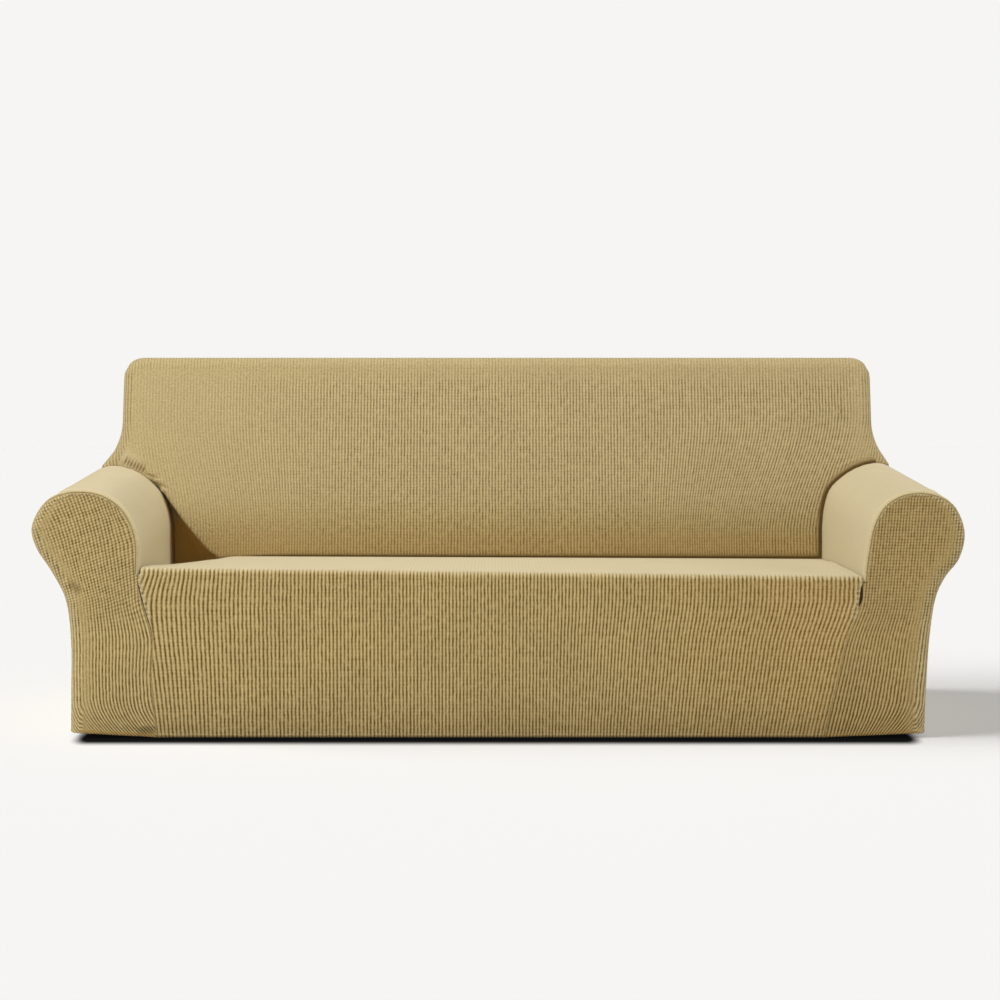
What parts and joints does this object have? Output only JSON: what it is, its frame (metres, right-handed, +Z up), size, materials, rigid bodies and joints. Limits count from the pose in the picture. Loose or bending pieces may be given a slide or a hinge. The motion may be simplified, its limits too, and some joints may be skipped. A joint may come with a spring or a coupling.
{
  "type": "sofa slipcover",
  "caption": "Fitted straw-coloured ribbed stretch slipcover for a long rolled-arm sofa, hollow underneath, with scroll arm fronts and a skirt to the floor.",
  "frame": {"origin": "on the floor under the middle of the cover's bounding box", "axes": "+X along the seat to the right as seen from the front, +Y from the seat's front to the back, +Z up"},
  "size_m": [2.211, 0.886, 0.911],
  "materials": {
    "straw_knit": "matte ribbed stretch knit"
  },
  "bodies": {
    "root": {"back_inside": "straw_knit", "back_outside": "straw_knit", "seat_front": "straw_knit", "arm_left": "straw_knit", "arm_right": "straw_knit", "arm_front_left": "straw_knit", "arm_front_right": "straw_knit"}
  },
  "joints": []
}
